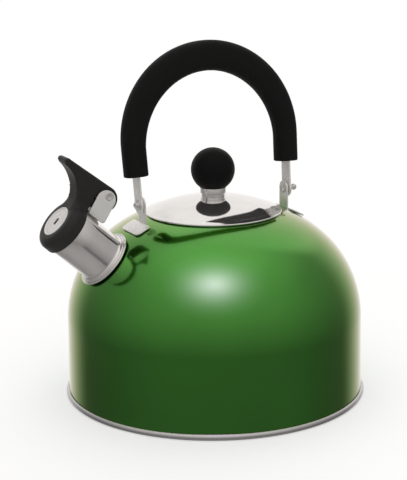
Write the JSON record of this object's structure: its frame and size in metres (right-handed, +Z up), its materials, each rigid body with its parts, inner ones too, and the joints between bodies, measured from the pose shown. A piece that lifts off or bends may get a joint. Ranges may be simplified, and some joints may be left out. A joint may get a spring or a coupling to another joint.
{
  "type": "stovetop whistling kettle",
  "caption": "Domed stovetop kettle with a lift-off lid, a fold-down arched handle and a short spout closed by a sprung whistle cap.",
  "frame": {"origin": "centre of the base's flat underside", "axes": "+Z up, the spout points to -X, and the handle folds about the X axis"},
  "size_m": [0.2201, 0.2, 0.2328],
  "materials": {
    "green_lacquer": "translucent green lacquer over polished steel, high gloss",
    "polished_steel": "mirror-polished stainless steel",
    "spout_steel": "polished stainless steel with faint drawing lines",
    "strap_steel": "satin stainless strip",
    "satin_steel": "satin stainless steel",
    "fastener_steel": "bright plated steel",
    "brass": "turned brass",
    "black_grip": "matt black heat-resistant plastic",
    "black_knob": "satin black heat-resistant plastic",
    "black_cap": "satin black moulded plastic",
    "black_silicone": "black silicone",
    "clear_silicone": "translucent white silicone"
  },
  "bodies": {
    "kettle": {"body_wall": "green_lacquer", "body_shoulder": "green_lacquer", "body_crown": "green_lacquer", "neck_ring": "green_lacquer", "base_pan": "satin_steel", "spout_tube": "spout_steel", "spout_seal": "black_silicone", "bracket_spout_side": "strap_steel", "bracket_rear": "strap_steel", "pivot_rivet_spout_side": "fastener_steel", "pivot_rivet_rear": "fastener_steel", "pivot_spacer_spout_side": "fastener_steel", "pivot_spacer_rear": "fastener_steel", "rivet_washer_spout_side": "fastener_steel", "rivet_washer_rear": "fastener_steel", "hinge_bracket": "spout_steel", "hinge_pin": "fastener_steel", "hinge_spring": "fastener_steel"},
    "lid": {"lid_cover": "polished_steel", "lid_skirt": "satin_steel", "knob_ball": "black_knob", "knob_ferrule": "spout_steel", "knob_insert": "brass", "knob_screw": "fastener_steel", "knob_washer": "fastener_steel"},
    "handle": {"handle_grip": "black_grip", "handle_strap": "strap_steel"},
    "cap": {"whistle_cap": "black_cap", "whistle_front_disc": "spout_steel", "whistle_back_disc": "satin_steel", "whistle_spacer": "satin_steel", "cap_seal": "clear_silicone"}
  },
  "joints": [
    {"name": "handle_fold", "type": "hinge", "parent": "kettle", "child": "handle", "pos_m": [0.0011, 0, 0.1317], "axis": [1, 0, 0], "range_deg": [-98, 111]},
    {"name": "cap_open", "type": "hinge", "parent": "kettle", "child": "cap", "pos_m": [-0.07753, 0, 0.14153], "axis": [0, 1, 0], "range_deg": [0, 50], "stiffness_Nm_per_rad": 0.03, "springref_deg": -45.84},
    {"name": "lid_lift", "type": "slide", "parent": "kettle", "child": "lid", "axis": [0, 0, 1], "range_m": [0, 0.04]}
  ]
}
